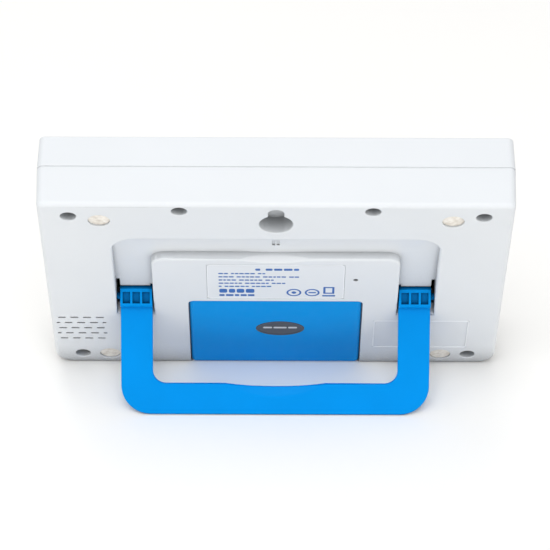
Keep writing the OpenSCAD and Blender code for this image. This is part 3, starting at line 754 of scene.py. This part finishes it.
def join_loops(bm, loops, capped=False):
    """Faces between loops with the same number of corners. They go on from the last loop to
    the first, or each of these two gets a cap."""
    for a, b in zip(loops, loops[1:] if capped else loops[1:] + loops[:1]):
        for k in range(len(a)):
            n = (k + 1) % len(a)
            bm.faces.new((a[k], a[n], b[n], b[k]))
    if capped:
        bm.faces.new(loops[0])
        bm.faces.new(loops[-1])


def band(bm, outer, inner, low, high):
    """Flat closed band between two outlines with the same number of points."""
    corners = ((outer, low), (outer, high), (inner, high), (inner, low))
    join_loops(bm, [[bm.verts.new((*point, z)) for point in outline] for outline, z in corners])


def ring(bm, cx, cy, outer, inner, low, high, steps=48):
    """Flat round band."""
    band(bm, *(oval_outline(cx, cy, 2 * r, 2 * r, steps) for r in (outer, inner)), low, high)


def border(bm, xs, ys, r, width, low, high):
    """Thin line with round corners along the inside of a rectangle."""
    outer = bar_outline(*xs, *ys, r, 6)
    inner = bar_outline(xs[0] + width, xs[1] - width, ys[0] + width, ys[1] - width, r - width, 6)
    band(bm, outer, inner, low, high)


def build_rating_frame():
    """Fine raised line round the shallow rectangle for a rating label."""
    bm = bmesh.new()
    border(bm, RATING_X, RATING_Y, 1.2, 0.5, -0.25, 0.06)
    line = add_object("rating_frame", bm, CASE)
    soften(line, 0.1)
    finish_piece(line, "case", "edge", "white_shell")


PRINT_LOW, PRINT_HIGH = LABEL_FACE - 0.02, LABEL_FACE + 0.03
TEXT_LEFT = -23.6
TEXT_LINES = (                    # height up the back, start and end across it, size
    (83.1, -8.4, 9.6, 1.7), (79.7, TEXT_LEFT, -3.9, 0.95), (76.9, TEXT_LEFT, 10, 0.95),
    (74.2, TEXT_LEFT, -0.8, 0.95), (71.5, TEXT_LEFT, 4, 0.95), (68.8, TEXT_LEFT, -1.8, 0.95))
DISCS = ((7.6, 63.6), (15.2, 63.6))


def print_bar(bm, x0, x1, y0, y1, r):
    """Bar of ink with round corners."""
    plate(bm, bar_outline(x0, x1, y0, y1, r), PRINT_LOW, PRINT_HIGH)


def print_lines(bm):
    """Rows of dashes, as long as words, that read as lines of print."""
    for row, (y, start, end, height) in enumerate(TEXT_LINES):
        x = start
        k = 0
        while x < end - 0.6:
            length = height * (1.2 + 0.9 * abs(math.sin(3.7 * k + 1.9 * row)))
            stop = min(x + length, end)
            print_bar(bm, x, stop, y - height / 2, y + height / 2, height * 0.3)
            x = stop + height * (0.35 if (k * 7 + row * 3) % 5 else 1.3)
            k += 1


def print_pictograms(bm):
    """Two rows of bars, a dot and a bar in ringed discs, and a box that stands on a bar."""
    for x, w in ((-23.4, 3.3), (-19.4, 2.6), (-16.2, 3.2), (-12.4, 3.6)):
        print_bar(bm, x, x + w, 63.3, 66.6, 0.8)
    for x, w in ((-23.4, 2.2), (-20.7, 3.2), (-17, 1.9), (-14.6, 2.6), (-11.6, 2.8)):
        print_bar(bm, x, x + w, 60.4, 62, 0.4)
    for x, y in DISCS:
        ring(bm, x, y, 3.1, 2.3, PRINT_LOW, PRINT_HIGH)
    plate(bm, oval_outline(*DISCS[0], 2, 2, 24), PRINT_LOW, PRINT_HIGH)
    x, y = DISCS[1]
    print_bar(bm, x - 1.6, x + 1.6, y - 0.5, y + 0.5, 0.4)
    for x0, x1, y0, y1 in ((19.8, 24.4, 67.6, 68.5), (19.8, 24.4, 62.7, 63.6),
                           (19.8, 20.7, 63.3, 67.9), (23.5, 24.4, 63.3, 67.9),
                           (19.4, 24.8, 60.3, 61.5)):
        print_bar(bm, x0, x1, y0, y1, 0.3)


def build_label():
    """Film with round corners and a pale edge, and generic print in place of any wording:
    dashes for its lines, and plain pictograms."""
    bm = bmesh.new()
    plate(bm, bar_outline(-LABEL_HALF, LABEL_HALF, LABEL_LOW, LABEL_HIGH, 1.6, 8), -0.25, LABEL_FACE)
    film = add_object("label_sheet", bm, CASE)
    soften(film, 0.06)
    finish_piece(film, "case", "film", "label_film", "info_label")
    bm = bmesh.new()
    border(bm, (-LABEL_HALF, LABEL_HALF), (LABEL_LOW, LABEL_HIGH), 1.6, 0.35, -0.2, -0.02)
    edge = add_object("label_edge", bm, CASE)
    finish_piece(edge, "case", "edge", "label_film")

    bm = bmesh.new()
    print_lines(bm)
    print_pictograms(bm)
    marks = add_object("label_print", bm, CASE)
    finish_piece(marks, "case", "print", "label_film")


def build_badge():
    """Domed oval badge with a raised rim, and three plain bars in place of any mark."""
    bm = bmesh.new()
    rim = ((1.0, -0.4), (1.0, -0.08), (0.985, -0.02), (0.965, 0), (0.93, 0), (0.915, -0.03),
           (0.905, -0.1), (0.88, -0.1))
    dome = ((0.6, -0.06), (0.3, -0.045))
    rows = [(BADGE_W * share, BADGE_H - BADGE_W * (1 - share), z) for share, z in rim]
    rows += [(BADGE_W * share, BADGE_H * share, z) for share, z in dome]
    join_loops(bm, [[bm.verts.new((*point, z)) for point in oval_outline(*BADGE_AT, w, h, 96)]
                    for w, h, z in rows], capped=True)
    badge = add_object("badge_shape", bm, CASE)
    finish_piece(badge, "battery_door", "badge", "badge_grey", "door_badge")

    bm = bmesh.new()
    x, y = BADGE_AT
    for start, end in ((-7.2, -3.4), (-2.8, 2.8), (3.4, 7.2)):
        plate(bm, bar_outline(x + start, x + end, y + 0.1, y + 1.4, 0.5), -0.11, -0.02)
    mark = add_object("badge_bars", bm, CASE)
    finish_piece(mark, "battery_door", "badge_mark", "badge_grey")


SEGMENTS = {"0": "abcdef", "1": "bc", "2": "abdeg", "3": "abcdg", "4": "bcfg", "5": "acdfg",
            "6": "acdefg", "7": "abc", "8": "abcdefg", "9": "abcdfg"}


def digit(bm, char, x, y, h, low, high):
    """Seven-segment digit seen from the front, its lower outer corner at x, y."""
    w, t, g, lean = h * 0.52, h * 0.11, h * 0.025, 0.08
    bars = {"a": (g, h, w - g, h, 0), "d": (g, 0, w - g, 0, 0), "g": (g, h / 2, w - g, h / 2, 0),
            "f": (0, h / 2 + g, 0, h - g, 1), "b": (w, h / 2 + g, w, h - g, 1),
            "e": (0, g, 0, h / 2 - g, 1), "c": (w, g, w, h / 2 - g, 1)}
    for name in SEGMENTS[char]:
        x0, y0, x1, y1, upright = bars[name]
        if upright:
            points = [(x0, y0), (x0 + t / 2, y0 + t / 2), (x0 + t / 2, y1 - t / 2), (x1, y1),
                      (x0 - t / 2, y1 - t / 2), (x0 - t / 2, y0 + t / 2)]
        else:
            points = [(x0, y0), (x0 + t / 2, y0 - t / 2), (x1 - t / 2, y0 - t / 2), (x1, y1),
                      (x1 - t / 2, y0 + t / 2), (x0 + t / 2, y0 + t / 2)]
        outline = [(x - px - lean * py, y + py) for px, py in points]
        plate(bm, outline, low, high)


def number(bm, text, x, y, h, low, high):
    """Digits, colons and points that read from the front, starting at x."""
    for char in text:
        if char in ".:":
            for up in ((0.3, 0.7) if char == ":" else (0,)):
                plate(bm, oval_outline(x - 0.03 * h, y + up * h, h * 0.13, h * 0.13, 20), low, high)
            x -= h * 0.2
        else:
            digit(bm, char, x, y, h, low, high)
            x -= h * 0.74


def build_display():
    """Printed border behind the window, and the display's segments."""
    bm = bmesh.new()
    half_w, half_h = WINDOW_W / 2 - 0.4, WINDOW_H / 2 - 0.4
    outer = bar_outline(-half_w, half_w, WINDOW_Y - half_h, WINDOW_Y + half_h, 3.4, 8)
    inner = bar_outline(-VIEW_HALF_W, VIEW_HALF_W, WINDOW_Y - VIEW_HALF_H, WINDOW_Y + VIEW_HALF_H,
                        2.5, 8)
    band(bm, outer, inner, WINDOW_BACK, WINDOW_BACK + 0.04)
    printed = add_object("window_border", bm, CASE)
    finish_piece(printed, "case", "border", "clear_window")

    low, high = LCD_FACE - 0.05, LCD_FACE + 0.01
    bm = bmesh.new()
    number(bm, "12:45", 33, 89, 18, low, high)
    number(bm, "22.6", 56, 53, 22, low, high)
    number(bm, "48", -20, 53, 22, low, high)
    ring(bm, 1, 72.5, 2, 1.2, low, high, 32)
    for x0, x1, y0, y1 in ((-60, 60, 82, 82.7), (-4.4, -3.8, 50, 79)):
        plate(bm, bar_outline(x0, x1, y0, y1, 0.2), low, high)
    for k in range(4):
        plate(bm, bar_outline(-58 + 3.2 * k, -55.8 + 3.2 * k, 90, 93 + 2.4 * k, 0.3), low, high)
    segments = add_object("lcd_segments", bm, CASE)
    finish_piece(segments, "case", "segment", "lcd_glass")


def build_key_marks():
    """A plain raised shape on each key."""
    size = 1.7
    shapes = (
        oval_outline(0, 0, 2 * size, 2 * size, 32),
        [(0, size), (-1.2 * size, -0.8 * size), (1.2 * size, -0.8 * size)],
        [(0, -size), (-1.2 * size, 0.8 * size), (1.2 * size, 0.8 * size)],
        bar_outline(-1.4 * size, 1.4 * size, -0.35 * size, 0.35 * size, 0.5),
        bar_outline(-size, size, -size, size, 0.5),
    )
    for i, shape in enumerate(shapes):
        bm = bmesh.new()
        at = (i - 2) * KEY_PITCH
        plate(bm, [(x + at, y + KEY_Y) for x, y in shape], KEY_FACE - 0.06, KEY_FACE + 0.1)
        mark = add_object(f"key_{i + 1}_mark", bm, CASE)
        soften(mark, 0.05)
        finish_piece(mark, f"key_{i + 1}", "key_mark", "key_grey")


# --- Cells ------------------------------------------------------------------------------------
def lathe(bm, profile):
    """Solid of revolution about z from (radius, height) points, closed at both ends."""
    join_loops(bm, [[bm.verts.new((*point, z)) for point in oval_outline(0, 0, 2 * r, 2 * r)]
                    for r, z in profile], capped=True)


def build_cells():
    """Each cell is a rolled steel can with its button, in a printed sleeve with a band."""
    r, split, shoulder = CELL_D / 2, 34, CELL_LEN - 1.3
    parts = (
        ("can", "metal", "bright_metal", (
            (2.6, 0.15), (r - 1.6, 0), (r - 0.7, 0.1), (r - 0.25, 0.5), (r - 0.2, 1),
            (r - 0.2, shoulder - 0.8), (r - 0.7, shoulder - 0.25), (r - 1.6, shoulder - 0.1),
            (3.6, shoulder - 0.1), (2.7, shoulder + 0.1), (2.6, CELL_LEN - 0.35),
            (2.2, CELL_LEN - 0.05), (1, CELL_LEN))),
        ("sleeve", "sleeve", "cell_sleeve", (
            (r - 0.9, 0.08), (r - 0.5, 0.02), (r - 0.12, 0.25), (r, 0.8), (r, split - 0.1),
            (r - 0.04, split), (r - 0.6, split))),
        ("band", "band", "cell_sleeve", (
            (r - 0.6, split + 0.02), (r - 0.04, split + 0.02), (r, split + 0.1),
            (r, shoulder - 0.8), (r - 0.12, shoulder - 0.25), (r - 0.5, shoulder - 0.02),
            (r - 1.3, shoulder))),
    )
    for i, side in enumerate(CELL_SIDE):
        at = Matrix.Translation((0, CELL_Y + (i - 1) * CELL_PITCH, CELL_Z))
        turn = Matrix.Rotation(math.radians(90 * side), 4, "Y")
        place = CASE @ at @ turn @ Matrix.Translation((0, 0, CELL_TIP - CELL_LEN))
        for name, material, slot, profile in parts:
            bm = bmesh.new()
            lathe(bm, profile)
            piece = add_object(f"battery_{i + 1}_{name}", bm, place)
            stands_for = (f"battery_{i + 1}",) if name == "can" else ()
            finish_piece(piece, "case", material, slot, *stands_for)


def finish_cad_nodes():
    """Materials of the CAD nodes that stay as they are."""
    for node, material in (
        ("lcd_holder", "grey"), ("lcd_connectors", "rubber"), ("main_board", "board"),
        ("board_chips", "chip"), ("key_switches", "chip"), ("reset_switch", "chip"),
        ("contact_springs", "metal"), ("board_screws", "metal"),
    ):
        mesh = frame["nodes"][node].data
        mesh.materials.clear()
        mesh.materials.append(MATERIALS[material])


make_camera()
make_studio()
build_rear()
build_front()
build_handle()
build_door()
build_rounded_nodes()
build_label()
build_rating_frame()
build_badge()
build_display()
build_key_marks()
build_cells()
finish_cad_nodes()
